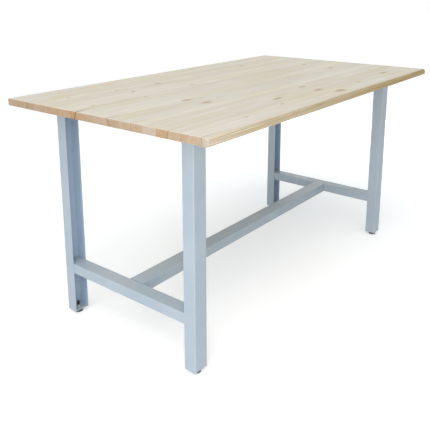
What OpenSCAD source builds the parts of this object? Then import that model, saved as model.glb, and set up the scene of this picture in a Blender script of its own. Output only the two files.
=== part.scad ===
// Workbench: a glued board top on two welded end frames of folded steel channel,
// tied together low down by one stretcher, standing on four levelling feet.
// X runs along the long sides, the front is at -Y, Z is up, and the origin lies
// on the floor under the middle of the top.

/* [Table top] */
// Length of the top, end to end
top_length = 1800; // [1400:10:2400]
// Depth of the top, front to rear
top_depth = 1000; // [860:10:1200]
// Thickness of the glued board
top_thick = 28; // [26:1:42]
// Radius of the rolled upper front edge
front_roll = 14; // [4:1:16]
// Radius of the lower front edge
front_under = 6; // [2:1:8]
// Radius of the lower rear edge
rear_under = 4; // [1:1:8]

/* [Legs] */
// Length of a leg channel
leg_length = 872; // [700:1:1000]
// Width of a leg, along the long side
leg_width = 65; // [56:1:90]
// Depth of a leg, front to rear
leg_depth = 50; // [44:1:80]
// Sheet thickness of a leg
leg_sheet = 2.5; // [2:0.5:4]
// Inner radius of a leg's two folds
leg_fold = 1.5; // [0.5:0.5:3]
// Distance between the outer faces of the front and rear legs
frame_depth = 700; // [560:10:840]
// How far the top reaches past the legs at each end
end_overhang = 110; // [20:5:250]

/* [Crossbars] */
// Height of the crossbars and the stretcher
bar_height = 43; // [36:1:60]
// Underside of the crossbars above the lower end of the legs
bar_rise = 173; // [100:1:400]
// Wall of the crossbar tube
bar_wall = 2; // [1.5:0.5:4]
// Inner corner radius of the crossbar tube
bar_fold = 1.5; // [0.5:0.5:3]
// Gap at each side of a bar between the leg's flanges
bar_fit = 0.25; // [0.1:0.05:0.5]

/* [Top rails] */
// Height of the rails under the top
rail_height = 35; // [25:1:40]
// Sheet thickness of a rail
rail_sheet = 2.5; // [2:0.5:4]
// Inner radius of a rail's two folds
rail_fold = 1.5; // [0.5:0.5:3]

/* [Stretcher] */
// Width of the stretcher, front to rear
stretcher_width = 68; // [60:1:90]
// Sheet thickness of the stretcher
stretcher_sheet = 2.5; // [2:0.5:4]
// Inner radius of the stretcher's two folds
stretcher_fold = 1.5; // [0.5:0.5:3]
// Thickness of the plate inside each end
end_plate = 4; // [3:0.5:6]
// Gap between an end plate and the channel round it
plate_fit = 0.25; // [0.1:0.05:0.5]

/* [Stretcher bolts] */
// Diameter of a bolt
bolt_d = 8; // [6:1:8]
// Width across the flats of a bolt head
bolt_flats = 13; // [12:0.5:14]
// Height of a bolt head
bolt_head = 5.3; // [4:0.1:7]
// Length of a bolt under its head
bolt_length = 20; // [16:1:30]
// Distance between the two bolts of one end
bolt_spacing = 34; // [22:1:36]
// Radial gap round a bolt in its plate
bolt_gap = 0.5; // [0.2:0.1:1]
// Radial gap round a bolt in its rivet nut
thread_gap = 0.1; // [0.05:0.05:0.2]
// Diameter of a washer
washer_d = 16; // [15:0.5:18]
// Thickness of a washer
washer_thick = 1.6; // [1:0.2:2.4]
// Diameter of a rivet nut's body
rivet_d = 11; // [10:0.5:12]
// Diameter of its flange and of its set collar
rivet_flange_d = 14; // [13:0.5:16]
// Thickness of its flange
rivet_flange = 0.6; // [0.4:0.1:1]
// Height of its set collar
rivet_collar = 4; // [2:0.5:6]
// Length of its body
rivet_length = 16; // [12:1:22]
// Radial gap round its body in the crossbar
rivet_gap = 0.1; // [0.05:0.05:0.2]

/* [Wood screws] */
// Screws along each top rail
screw_count = 4; // [2:1:8]
// Distance of the outer screws from the rail's ends
screw_inset = 75; // [20:1:160]
// Diameter of a screw
screw_d = 5; // [4:0.5:6]
// Diameter of a screw head
screw_head_d = 10; // [9:0.5:12]
// Height of a screw head
screw_head = 3; // [2:0.5:5]
// Length of a screw under its head
screw_length = 22; // [16:1:24]
// Length of the screw's point
screw_point = 5; // [3:0.5:8]
// Radial gap round a screw in the wood
pilot_gap = 0.1; // [0.05:0.05:0.3]
// Depth of a pilot hole past the screw's point
pilot_spare = 1; // [0.5:0.5:1.5]
// Radial gap round a screw across its slot
slot_gap = 0.5; // [0.2:0.1:1]
// Travel that the slot leaves the screw, front to rear
slot_travel = 6; // [2:1:12]

/* [Feet] */
// Height of the lower end of the legs above the floor
foot_drop = 15; // [14.6:0.1:18]
// Thickness of the plate that closes a leg's lower end
foot_plate_thick = 4; // [3:0.5:6]
// Radial gap round the stud in that plate
plate_gap = 0.5; // [0.2:0.1:1]
// Width across the flats of the welded nut
nut_flats = 17; // [16:0.5:19]
// Height of the welded nut
nut_height = 8; // [6:0.5:10]
// Diameter of the stud
stud_d = 10; // [9:0.5:12]
// Radial gap round the stud in the nut
stud_gap = 0.1; // [0.05:0.01:0.1]
// How far the stud stands out of the nut
stud_above = 16; // [1:0.5:24]
// Depth of the driver slot in the stud
driver_depth = 2.5; // [1:0.5:4]
// Width of the driver slot in the stud
driver_width = 1.6; // [1:0.2:2.4]
// Diameter of the pad on the floor
pad_d = 36; // [30:1:42]
// Diameter of the pad's top
pad_top_d = 27; // [24:1:29]
// Height of the pad
pad_height = 12; // [11:0.5:12]
// Height of the pad's upright foot rim
pad_rim = 4; // [2:0.5:5]
// Diameter of the stud's head inside the pad
swivel_d = 17; // [14:0.5:18]
// Thickness of that head
swivel_thick = 3; // [2:0.5:4]
// Thickness of the pad under the head
pad_floor = 3; // [2:0.5:4]
// Diameter of the stud's neck through the pad
neck_d = 8; // [6:0.5:8.5]
// Radial gap round the neck and the head
swivel_gap = 0.1; // [0.05:0.01:0.1]
// Gap under and over the head
swivel_play = 0.3; // [0.2:0.1:0.5]

/* [Hidden] */
$fn = 64;

// Colours of the finishes
steel_blue = [0.70, 0.75, 0.80];
spruce = [0.86, 0.80, 0.68];
zinc = [0.74, 0.75, 0.76];
black_plastic = [0.09, 0.09, 0.10];
blackened = [0.13, 0.13, 0.14];

// How far a cut runs past the faces that it cuts
past = 1;
// Chamfer of the turned ends
chamfer = 1;

// Heights
leg_top = foot_drop + leg_length;
bar_bottom = foot_drop + bar_rise;
bar_middle = bar_bottom + bar_height / 2;
plate_top = foot_drop + foot_plate_thick;
nut_top = plate_top + nut_height;

// How deep a pilot hole goes into the board
pilot_depth = screw_length - rail_sheet + pilot_spare;

// Middle of the legs, and what fits between the flanges of a leg
leg_x = top_length / 2 - end_overhang - leg_width / 2;
leg_y = frame_depth / 2 - leg_depth / 2;
bar_width = leg_width - 2 * leg_sheet - 2 * bar_fit;
web_gap = leg_sheet + leg_fold + bar_fit;
bar_length = frame_depth - 2 * web_gap;

// The stretcher runs between the flanges of the rivet nuts
bar_face = leg_x - bar_width / 2;
stretcher_end = bar_face - rivet_flange;
bolt_start = stretcher_end - end_plate - washer_thick;

// A block with two rounded corners along y = 0
module arched_block(width, depth, corner) {
  translate([corner, 0]) square([width - 2 * corner, depth]);
  translate([0, corner]) square([width, depth - corner]);
  for (x = [corner, width - corner])
    translate([x, corner]) circle(corner);
}

// Sheet folded to a channel, closed along y = 0 and centred on x = 0
module channel(width, depth, sheet, fold) {
  translate([-width / 2, 0])
    difference() {
      arched_block(width, depth, fold + sheet);
      translate([sheet, sheet]) arched_block(width - 2 * sheet, depth, fold);
    }
}

// A rectangle with four rounded corners, centred
module rounded_rectangle(width, height, corner) {
  square([width - 2 * corner, height], center = true);
  square([width, height - 2 * corner], center = true);
  for (x = [-1, 1], y = [-1, 1])
    translate([x * (width / 2 - corner), y * (height / 2 - corner)]) circle(corner);
}

// A round hole or rod along +X from the given place
module along_x(place, length, d) {
  translate(place) rotate([0, 90, 0]) cylinder(h = length, d = d);
}

// Middle of each screw along a rail
function screw_y(i) = (i / (screw_count - 1) - 0.5) * (bar_length - 2 * screw_inset);

// Section of the board, front at y = 0, top at z = 0
module board_section() {
  translate([front_roll, -top_thick + front_under])
    square([top_depth - front_roll, top_thick - front_under]);
  translate([0, -top_thick + front_under])
    square([top_depth, top_thick - front_under - front_roll]);
  translate([front_roll, -front_roll]) circle(front_roll);
  translate([front_under, -top_thick + front_under]) circle(front_under);
  translate([front_under, -top_thick])
    square([top_depth - front_under - rear_under, front_under + rear_under]);
  translate([top_depth - rear_under, -top_thick + rear_under]) circle(rear_under);
  translate([top_depth / 2, -top_thick + rear_under])
    square([top_depth / 2, top_thick - rear_under]);
}

module table_top() {
  color(spruce)
    difference() {
      translate([-top_length / 2, -top_depth / 2, leg_top + top_thick])
        rotate([90, 0, 90]) linear_extrude(top_length) board_section();
      for (end = [-1, 1], i = [0 : screw_count - 1])
        translate([end * leg_x, screw_y(i), leg_top - past])
          cylinder(h = pilot_depth + past, d = screw_d + 2 * pilot_gap);
    }
}

// end is -1 at the left and 1 at the right, side is -1 in front and 1 behind
module leg(end, side) {
  color(steel_blue)
    translate([end * leg_x, side * frame_depth / 2, foot_drop])
      mirror([0, side > 0 ? 1 : 0, 0])
        linear_extrude(leg_length) channel(leg_width, leg_depth, leg_sheet, leg_fold);
}

// Closed tube between the legs of one end, holed for the rivet nuts
module crossbar(end) {
  color(steel_blue)
    mirror([end > 0 ? 1 : 0, 0, 0])
      difference() {
        translate([-leg_x, bar_length / 2, bar_middle])
          rotate([90, 0, 0])
            linear_extrude(bar_length)
              difference() {
                rounded_rectangle(bar_width, bar_height, bar_fold + bar_wall);
                rounded_rectangle(bar_width - 2 * bar_wall, bar_height - 2 * bar_wall, bar_fold);
              }
        for (y = [-1, 1])
          along_x([-bar_face - bar_wall - past, y * bolt_spacing / 2, bar_middle],
            bar_wall + 2 * past, rivet_d + 2 * rivet_gap);
      }
}

// Slot that lets a screw move with the wood
module screw_slot() {
  slot_d = screw_d + 2 * slot_gap;
  linear_extrude(rail_sheet + 2 * past) {
    square([slot_d, slot_travel], center = true);
    for (y = [-1, 1]) translate([0, y * slot_travel / 2]) circle(d = slot_d);
  }
}

// Channel open downwards under the top
module top_rail(end) {
  color(steel_blue)
    difference() {
      translate([end * leg_x, bar_length / 2, leg_top])
        rotate([90, 0, 0]) mirror([0, 1, 0])
          linear_extrude(bar_length) channel(bar_width, rail_height, rail_sheet, rail_fold);
      for (i = [0 : screw_count - 1])
        translate([end * leg_x, screw_y(i), leg_top - rail_sheet - past]) screw_slot();
    }
}

// Channel open downwards between the crossbars
module stretcher() {
  color(steel_blue)
    translate([-stretcher_end, 0, bar_bottom + bar_height])
      rotate([90, 0, 90]) mirror([0, 1, 0])
        linear_extrude(2 * stretcher_end)
          channel(stretcher_width, bar_height, stretcher_sheet, stretcher_fold);
}

// Plate welded inside one end of the stretcher
module stretcher_plate(end) {
  plate_width = stretcher_width - 2 * (stretcher_sheet + plate_fit);
  plate_height = bar_height - stretcher_sheet - plate_fit;
  color(steel_blue)
    mirror([end > 0 ? 1 : 0, 0, 0])
      difference() {
        translate([-stretcher_end, -plate_width / 2, bar_bottom + plate_height])
          rotate([90, 0, 90]) mirror([0, 1, 0])
            linear_extrude(end_plate) arched_block(plate_width, plate_height, stretcher_fold);
        for (y = [-1, 1])
          along_x([-stretcher_end - past, y * bolt_spacing / 2, bar_middle],
            end_plate + 2 * past, bolt_d + 2 * bolt_gap);
      }
}

// Hexagon bolts from inside the stretcher into the crossbar
module stretcher_bolts(end) {
  color(zinc)
    mirror([end > 0 ? 1 : 0, 0, 0])
      for (y = [-1, 1]) {
        along_x([-bolt_start - bolt_length, y * bolt_spacing / 2, bar_middle],
          bolt_length, bolt_d);
        translate([-bolt_start, y * bolt_spacing / 2, bar_middle])
          rotate([0, 90, 0]) cylinder(h = bolt_head, d = bolt_flats / cos(30), $fn = 6);
      }
}

module stretcher_washers(end) {
  color(zinc)
    mirror([end > 0 ? 1 : 0, 0, 0])
      for (y = [-1, 1])
        difference() {
          along_x([-bolt_start - washer_thick, y * bolt_spacing / 2, bar_middle],
            washer_thick, washer_d);
          along_x([-bolt_start - washer_thick - past, y * bolt_spacing / 2, bar_middle],
            washer_thick + 2 * past, bolt_d + 2 * bolt_gap);
        }
}

// Rivet nuts set in the inner wall of a crossbar
module rivet_nuts(end) {
  color(zinc)
    mirror([end > 0 ? 1 : 0, 0, 0])
      for (y = [-1, 1])
        difference() {
          union() {
            along_x([-bar_face, y * bolt_spacing / 2, bar_middle], rivet_flange, rivet_flange_d);
            along_x([-bar_face - rivet_length, y * bolt_spacing / 2, bar_middle],
              rivet_length, rivet_d);
            along_x([-bar_face - bar_wall - rivet_collar, y * bolt_spacing / 2, bar_middle],
              rivet_collar, rivet_flange_d);
          }
          along_x([-bar_face - rivet_length - past, y * bolt_spacing / 2, bar_middle],
            rivet_length + rivet_flange + 2 * past, bolt_d + 2 * thread_gap);
        }
}

// Pan head screws up through a rail into the board
module top_screws(end) {
  color(zinc)
    for (i = [0 : screw_count - 1])
      translate([end * leg_x, screw_y(i), leg_top - rail_sheet]) {
        translate([0, 0, -screw_head]) cylinder(h = screw_head, d1 = screw_head_d - 2 * chamfer,
          d2 = screw_head_d);
        cylinder(h = screw_length - screw_point, d = screw_d);
        translate([0, 0, screw_length - screw_point])
          cylinder(h = screw_point, d1 = screw_d, d2 = screw_d / 5);
      }
}

// Plate welded between the flanges at the lower end of a leg
module foot_plate(end, side) {
  color(steel_blue)
    translate([end * leg_x, 0, foot_drop])
      mirror([0, side > 0 ? 1 : 0, 0])
        difference() {
          translate([-bar_width / 2, -frame_depth / 2 + web_gap, 0])
            cube([bar_width, leg_depth - web_gap, foot_plate_thick]);
          translate([0, -leg_y, -past])
            cylinder(h = foot_plate_thick + 2 * past, d = stud_d + 2 * plate_gap);
        }
}

// Hexagon nut welded on the plate
module foot_nut(end, side) {
  color(steel_blue)
    translate([end * leg_x, side * leg_y, plate_top])
      difference() {
        intersection() {
          cylinder(h = nut_height, d = nut_flats / cos(30), $fn = 6);
          cylinder(h = nut_height, d1 = nut_flats / cos(30) + 2 * nut_height,
            d2 = nut_flats);
        }
        translate([0, 0, -past]) cylinder(h = nut_height + 2 * past, d = stud_d + 2 * stud_gap);
      }
}

// Stud with a round head that swivels inside the pad
module foot_stud(end, side) {
  head_bottom = pad_floor + swivel_play;
  shank_bottom = pad_height + swivel_play;
  stud_top = nut_top + stud_above;
  color(blackened)
    translate([end * leg_x, side * leg_y, 0])
      difference() {
        union() {
          translate([0, 0, head_bottom]) cylinder(h = swivel_thick, d = swivel_d);
          translate([0, 0, head_bottom]) cylinder(h = shank_bottom - head_bottom, d = neck_d);
          translate([0, 0, shank_bottom])
            cylinder(h = stud_top - chamfer - shank_bottom, d = stud_d);
          translate([0, 0, stud_top - chamfer])
            cylinder(h = chamfer, d1 = stud_d, d2 = stud_d - 2 * chamfer);
        }
        translate([-stud_d, -driver_width / 2, stud_top - driver_depth])
          cube([2 * stud_d, driver_width, driver_depth + past]);
      }
}

// Half section of the pad with its closed socket for the stud's head
module pad_section() {
  socket_r = swivel_d / 2 + swivel_gap;
  socket_top = pad_floor + 2 * swivel_play + swivel_thick;
  difference() {
    polygon([[0, 0], [pad_d / 2 - chamfer, 0], [pad_d / 2, chamfer], [pad_d / 2, pad_rim],
      [pad_top_d / 2 + chamfer, pad_height - chamfer], [pad_top_d / 2, pad_height],
      [0, pad_height]]);
    translate([0, pad_floor]) square([socket_r, socket_top - pad_floor]);
    translate([0, pad_floor]) square([neck_d / 2 + swivel_gap, pad_height]);
  }
}

module foot_pad(end, side) {
  color(black_plastic)
    translate([end * leg_x, side * leg_y, 0]) rotate_extrude() pad_section();
}

table_top();
leg(-1, -1);  // leg_front_left
leg(1, -1);  // leg_front_right
leg(-1, 1);  // leg_rear_left
leg(1, 1);  // leg_rear_right
crossbar(-1);  // crossbar_left
crossbar(1);  // crossbar_right
top_rail(-1);  // top_rail_left
top_rail(1);  // top_rail_right
stretcher();
stretcher_plate(-1);  // stretcher_plate_left
stretcher_plate(1);  // stretcher_plate_right
stretcher_bolts(-1);  // stretcher_bolts_left
stretcher_bolts(1);  // stretcher_bolts_right
stretcher_washers(-1);  // stretcher_washers_left
stretcher_washers(1);  // stretcher_washers_right
rivet_nuts(-1);  // rivet_nuts_left
rivet_nuts(1);  // rivet_nuts_right
top_screws(-1);  // top_screws_left
top_screws(1);  // top_screws_right
foot_plate(-1, -1);  // foot_plate_front_left
foot_plate(1, -1);  // foot_plate_front_right
foot_plate(-1, 1);  // foot_plate_rear_left
foot_plate(1, 1);  // foot_plate_rear_right
foot_nut(-1, -1);  // foot_nut_front_left
foot_nut(1, -1);  // foot_nut_front_right
foot_nut(-1, 1);  // foot_nut_rear_left
foot_nut(1, 1);  // foot_nut_rear_right
foot_stud(-1, -1);  // foot_stud_front_left
foot_stud(1, -1);  // foot_stud_front_right
foot_stud(-1, 1);  // foot_stud_rear_left
foot_stud(1, 1);  // foot_stud_rear_right
foot_pad(-1, -1);  // foot_pad_front_left
foot_pad(1, -1);  // foot_pad_front_right
foot_pad(-1, 1);  // foot_pad_rear_left
foot_pad(1, 1);  // foot_pad_rear_right
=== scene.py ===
import math
import random
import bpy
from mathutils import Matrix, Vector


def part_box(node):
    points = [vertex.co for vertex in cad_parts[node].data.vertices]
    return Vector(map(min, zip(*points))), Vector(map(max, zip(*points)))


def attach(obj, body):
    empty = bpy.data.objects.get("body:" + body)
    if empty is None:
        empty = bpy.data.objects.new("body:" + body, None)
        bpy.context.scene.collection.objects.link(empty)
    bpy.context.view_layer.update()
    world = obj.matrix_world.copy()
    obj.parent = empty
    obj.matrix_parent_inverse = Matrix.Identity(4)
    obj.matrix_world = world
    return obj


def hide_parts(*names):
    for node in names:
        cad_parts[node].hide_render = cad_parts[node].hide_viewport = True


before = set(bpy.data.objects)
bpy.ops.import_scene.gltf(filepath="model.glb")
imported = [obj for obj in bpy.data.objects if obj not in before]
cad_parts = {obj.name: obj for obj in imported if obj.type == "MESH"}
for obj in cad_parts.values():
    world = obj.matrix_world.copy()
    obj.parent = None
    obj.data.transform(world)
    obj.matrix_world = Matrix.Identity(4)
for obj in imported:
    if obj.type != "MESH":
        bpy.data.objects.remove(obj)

from types import SimpleNamespace
import bpy
import bmesh
from mathutils import Matrix, Vector

scene = bpy.context.scene
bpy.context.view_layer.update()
mm = 0.001
ends = {"left": -1, "right": 1}
sides = {"front": -1, "rear": 1}
corners = [f"{side}_{end}" for side in sides for end in ends]

photoCamera = {
    "place": (-2.1603, -1.5191, 1.3450),
    "yaw": 51.7345, "pitch": -13.0594, "roll": -0.0794,  # degrees, yaw from +Y towards +X
    "focal": 586.40, "frameWidth": 430,  # pixels
    "sensor": 36.0, "shiftY": -0.22, "farClip": 500,
}


def addCamera(s):
    yaw, pitch, roll = (math.radians(s[key]) for key in ("yaw", "pitch", "roll"))
    ahead = Vector((math.sin(yaw) * math.cos(pitch), math.cos(yaw) * math.cos(pitch), math.sin(pitch)))
    right = Vector((math.cos(yaw), -math.sin(yaw), 0))
    up = right.cross(ahead)
    rightRolled = math.cos(roll) * right + math.sin(roll) * up
    upRolled = -math.sin(roll) * right + math.cos(roll) * up
    lens = bpy.data.cameras.new("photoCamera")
    lens.sensor_width = s["sensor"]
    lens.lens = s["focal"] * s["sensor"] / s["frameWidth"]
    lens.shift_y = s["shiftY"]
    lens.clip_end = s["farClip"]
    camera = bpy.data.objects.new("photoCamera", lens)
    scene.collection.objects.link(camera)
    turn = Matrix((rightRolled, upRolled, -ahead)).transposed()
    camera.matrix_world = Matrix.Translation(s["place"]) @ turn.to_4x4()
    scene.camera = camera


addCamera(photoCamera)
print("camera placed")


# what a node puts out, so that sums of nodes read as sums
class Signal:
    def __init__(self, socket):
        self.socket = socket

    def __add__(self, other):
        return maths("ADD", self, other)

    def __radd__(self, other):
        return maths("ADD", other, self)

    def __sub__(self, other):
        return maths("SUBTRACT", self, other)

    def __rsub__(self, other):
        return maths("SUBTRACT", other, self)

    def __mul__(self, other):
        return maths("MULTIPLY", self, other)

    def __truediv__(self, other):
        return maths("DIVIDE", self, other)


def treeOf(*values):
    return next(value.socket.id_data for value in values if isinstance(value, Signal))


def feed(socket, value):
    if isinstance(value, Signal):
        socket.id_data.links.new(value.socket, socket)
    elif value is not None:
        socket.default_value = value


nodesInRow, nodeWide, nodeHigh = 14, 200, 240  # how the node editor shows them


def addNode(tree, kind, inputs=None, **settings):
    made = tree.nodes.new(kind)
    for key, value in settings.items():
        setattr(made, key, value)
    for key, value in (inputs or {}).items():
        feed(made.inputs[key], value)
    row, column = divmod(len(tree.nodes), nodesInRow)
    made.location = (nodeWide * column, -nodeHigh * row)
    return made


def output(tree, kind, inputs=None, name=0, **settings):
    return Signal(addNode(tree, kind, inputs, **settings).outputs[name])


def outputs(tree, kind, *names, **settings):
    made = addNode(tree, kind, **settings)
    return [Signal(made.outputs[name]) for name in names]


def maths(operation, *values):
    return output(treeOf(*values), "ShaderNodeMath", dict(enumerate(values)), operation=operation)


def clamped(value):
    value.socket.node.use_clamp = True
    return value


def vectorMaths(operation, first, second=None, scale=None):
    name = "Value" if operation in ("LENGTH", "DOT_PRODUCT") else "Vector"
    inputs = {0: first, "Scale": scale} if operation == "SCALE" else {0: first, 1: second}
    return output(treeOf(first), "ShaderNodeVectorMath", inputs, name, operation=operation)


def fade(value, low, high, outLow=0.0, outHigh=1.0, kind="SMOOTHSTEP"):
    inputs = {"Value": value, "From Min": low, "From Max": high, "To Min": outLow, "To Max": outHigh}
    return output(treeOf(value), "ShaderNodeMapRange", inputs, "Result", interpolation_type=kind)


def ramp(*values):
    return fade(*values, kind="LINEAR")


# numbers of the Mix node's sockets: factor, both inputs, result
mixSockets = {"RGBA": (0, 6, 7, 2), "FLOAT": (0, 2, 3, 0)}


def blend(factor, first, second, kind="RGBA"):
    share, a, b, result = mixSockets[kind]
    inputs = {share: factor, a: first, b: second}
    return output(treeOf(factor), "ShaderNodeMix", inputs, result, data_type=kind)


def stretch(vector, scale, shift=None):
    return output(treeOf(vector), "ShaderNodeMapping", {"Vector": vector, "Location": shift, "Scale": scale})


# squeeze stretches the place first, and levels turn the noise into a mask that fades in between them
def noise(vector, squeeze, scale, detail, rough, *levels, w=None):
    if squeeze:
        vector = stretch(vector, squeeze)
    inputs = {"Vector": vector, "Scale": scale, "Detail": detail, "Roughness": rough}
    kind = "3D"
    if w is not None:
        inputs["W"], kind = w, "4D"
    found = output(treeOf(vector), "ShaderNodeTexNoise", inputs, "Fac", noise_dimensions=kind)
    return fade(found, *levels) if levels else found


def bump(height, distance):
    return output(treeOf(height), "ShaderNodeBump", {"Height": height, "Distance": distance})


def split(vector, kind="XYZ"):
    made = addNode(treeOf(vector), "ShaderNodeSeparate" + kind, {0: vector})
    return [Signal(part) for part in made.outputs]


def combine(*parts):
    return output(treeOf(*parts), "ShaderNodeCombineXYZ", dict(enumerate(parts)))


def attribute(tree, name, *wanted):
    return outputs(tree, "ShaderNodeAttribute", *wanted, attribute_type="GEOMETRY", attribute_name=name)


def objectPlace(tree):
    return output(tree, "ShaderNodeTexCoord", name="Object")


socketKinds = {float: "Float", int: "Int", bool: "Bool"}


# a socket is given by its first value, or by its kind where it has none
def newGroup(name, takes, gives, treeKind="ShaderNodeTree"):
    tree = bpy.data.node_groups.new(name, treeKind)
    for way, sockets in (("INPUT", takes), ("OUTPUT", gives)):
        for label, start in sockets.items():
            kind = socketKinds.get(type(start), start)
            socket = tree.interface.new_socket(name=label, in_out=way, socket_type="NodeSocket" + kind)
            if kind != start:
                socket.default_value = start
    take = {socket.name: Signal(socket) for socket in addNode(tree, "NodeGroupInput").outputs}
    return tree, take, addNode(tree, "NodeGroupOutput").inputs


def useGroup(tree, group, **values):
    made = addNode(tree, "ShaderNodeGroup", values, node_tree=group)
    return {socket.name: Signal(socket) for socket in made.outputs}


def rgb(red, green, blue):
    return (red, green, blue, 1.0)


# effects that the finishes share
effects = {
    "bevelSamples": 6, "edgeCosines": (0.999, 0.90),  # between the face's normal and the rounded one
    "wearNoise": (4.0, 0.62), "wearLift": 0.35, "wearReach": 0.55, "wearFade": 0.08,
    "dustSlopes": (0.35, 0.95), "dustNoise": (5.0, 0.6, 0.36, 0.72),
    "broadNoise": (3.0, 0.55), "fineNoise": (2.0, 0.5),
}


def makeEdgeWear(s):
    tree, take, give = newGroup("edgeWear", {"Radius": 0.0015, "Amount": 0.5, "Patch": 60.0},
                                {"Edge": "Float", "Worn": "Float"})
    rounded = output(tree, "ShaderNodeBevel", {"Radius": take["Radius"]}, samples=s["bevelSamples"])
    flat = output(tree, "ShaderNodeNewGeometry", name="Normal")
    edge = fade(vectorMaths("DOT_PRODUCT", rounded, flat), *s["edgeCosines"])
    patches = noise(objectPlace(tree), None, take["Patch"], *s["wearNoise"])
    limit = 1.0 - take["Amount"] * s["wearReach"]
    feed(give["Edge"], edge)
    feed(give["Worn"], fade(edge * (patches + s["wearLift"]), limit, limit + s["wearFade"]))
    return tree


def makeDust(s):
    tree, take, give = newGroup("settledDust", {"Amount": 0.3, "Scale": 9.0}, {"Dust": "Float"})
    upward = fade(split(output(tree, "ShaderNodeNewGeometry", name="Normal"))[2], *s["dustSlopes"])
    clouds = noise(objectPlace(tree), None, take["Scale"], *s["dustNoise"])
    feed(give["Dust"], upward * clouds * take["Amount"])
    return tree


def makeMottle(s):
    tree, take, give = newGroup("mottle", {"Vector": "Vector", "Broad": 3.0, "Fine": 400.0, "Share": 0.5},
                                {"Value": "Float"})
    broad = noise(take["Vector"], None, take["Broad"], *s["broadNoise"])
    fine = noise(take["Vector"], None, take["Fine"], *s["fineNoise"])
    feed(give["Value"], blend(take["Share"], broad, fine, "FLOAT"))
    return tree


edgeWear, settledDust, mottle = makeEdgeWear(effects), makeDust(effects), makeMottle(effects)


def newFinish(name):
    finish = bpy.data.materials.new(name)
    finish.use_nodes = True
    return finish, finish.node_tree, objectPlace(finish.node_tree)


def toneAndWear(tree, place, s):
    tone = useGroup(tree, mottle, Vector=place, **s["mottle"])["Value"]
    return tone, useGroup(tree, edgeWear, **s["wear"])


def dustOver(tree, s):
    return useGroup(tree, settledDust, **s["dusting"])["Dust"]


def setShader(finish, values):
    for name, value in values.items():
        feed(finish.node_tree.nodes["Principled BSDF"].inputs[name], value)
    return finish


# In all finishes a noise is given as: stretch, scale, detail, roughness, and for a mask the two levels
# between which it fades in and the two values it fades between.
paint = {
    # thin is the paler arris colour: thin paint on the edges and a painted highlight
    "colour": rgb(0.420, 0.490, 0.560), "shade": rgb(0.375, 0.450, 0.525), "thin": rgb(0.55, 0.60, 0.65),
    # inner is painted light: a bluer colour standing in for light bounced deep inside the channels
    "inner": rgb(0.400, 0.520, 0.660), "bounceLightShare": 0.7, "thinAndSheenShare": 0.45,
    "dust": rgb(0.60, 0.58, 0.54), "bare": rgb(0.36, 0.36, 0.36), "grime": rgb(0.20, 0.205, 0.21),
    "seam": rgb(0.17, 0.20, 0.235), "paintedBoardShadeFade": (0.842, 0.872, 0.0, 0.68),  # painted shade right under the board
    "mottle": {"Broad": 5.0, "Fine": 900.0, "Share": 0.35}, "toneLevels": (0.35, 0.65),
    "wear": {"Radius": 0.0012, "Amount": 0.66, "Patch": 95.0}, "dusting": {"Amount": 0.30, "Scale": 11.0},
    "lowFade": (0.16, 0.03),  # heights where feet and brooms scuff the legs
    "scuffs": ((26, 26, 18), 5.0, 9.0, 0.78, 0.53, 0.68), "scuffLow": 0.16, "scuffAll": 0.03,
    "scratches": ((9, 9, 700), 1.0, 2.0, 0.5, 0.70, 0.76), "scratchPlaces": (None, 24.0, 2.0, 0.5, 0.5, 0.6),
    "chips": (None, 140.0, 5.0, 0.7, 0.745, 0.765), "chipsLow": 0.8, "chipsAll": 0.2, "bareMetal": 0.9,
    "peel": (None, 330.0, 1.5, 0.4), "pits": (None, 2600.0, 1.0, 0.5), "peelDepth": 0.00012,
    "pitDepth": 0.12, "bareDepth": 0.5,  # shares of the peel's depth
    "roughness": 0.40, "smears": ((6, 6, 1.4), 4.0, 3.0, 0.6), "smearRough": 0.30, "dirtRough": 0.5,
}


def makePaintedSteel(s):
    finish, tree, place = newFinish("paintedSteel")
    tone, wear = toneAndWear(tree, place, s)
    dust = dustOver(tree, s)
    height = split(place)[2]
    low = fade(height, *s["lowFade"])
    scuff = noise(place, *s["scuffs"])
    scratch = noise(place, *s["scratches"]) * noise(place, *s["scratchPlaces"])
    scuff = maths("MAXIMUM", scuff, scratch) * (low * s["scuffLow"] + s["scuffAll"])
    chips = noise(place, *s["chips"]) * (low * s["chipsLow"] + s["chipsAll"])
    bare = maths("MAXIMUM", wear["Worn"], chips)
    colour = blend(fade(tone, *s["toneLevels"]), s["shade"], s["colour"])
    # painted bounced light: faces deep inside a channel turn bluer
    colour = blend(attribute(tree, "inside", "Fac")[0] * s["bounceLightShare"], colour, s["inner"])
    # paler arrises: thin paint on the edges, and a painted highlight
    colour = blend(wear["Edge"] * s["thinAndSheenShare"], colour, s["thin"])
    colour = blend(scuff, colour, s["grime"])
    colour = blend(bare, colour, s["bare"])
    colour = blend(dust, colour, s["dust"])
    # painted shade at the tops of the legs, right under the board
    colour = blend(fade(height, *s["paintedBoardShadeFade"]), colour, s["seam"])
    peel, pits, smears = (noise(place, *s[key]) for key in ("peel", "pits", "smears"))
    rough = s["roughness"] + (smears - 0.5) * s["smearRough"] + (dust + scuff) * s["dirtRough"]
    relief = peel + pits * s["pitDepth"] - bare * s["bareDepth"]
    return setShader(finish, {"Base Color": colour, "Roughness": clamped(rough),
                              "Metallic": bare * s["bareMetal"], "Normal": bump(relief, s["peelDepth"])})


zinc = {
    "colour": rgb(0.66, 0.67, 0.68), "tint": rgb(0.62, 0.61, 0.52), "dull": rgb(0.36, 0.36, 0.37),
    "mottle": {"Broad": 70.0, "Fine": 1500.0, "Share": 0.3}, "toneLevels": (0.4, 0.62),
    "wear": {"Radius": 0.0006, "Amount": 0.5, "Patch": 300.0}, "edgePolish": 0.1,
    "dullSpots": (None, 160.0, 4.0, 0.65, 0.58, 0.72),
    "turning": ((0.15, 0.15, 1.0), 2200.0, 1.0, 0.5), "turningDepth": 0.00003,
    "roughness": 0.33, "toneRough": 0.5,
}


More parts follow.
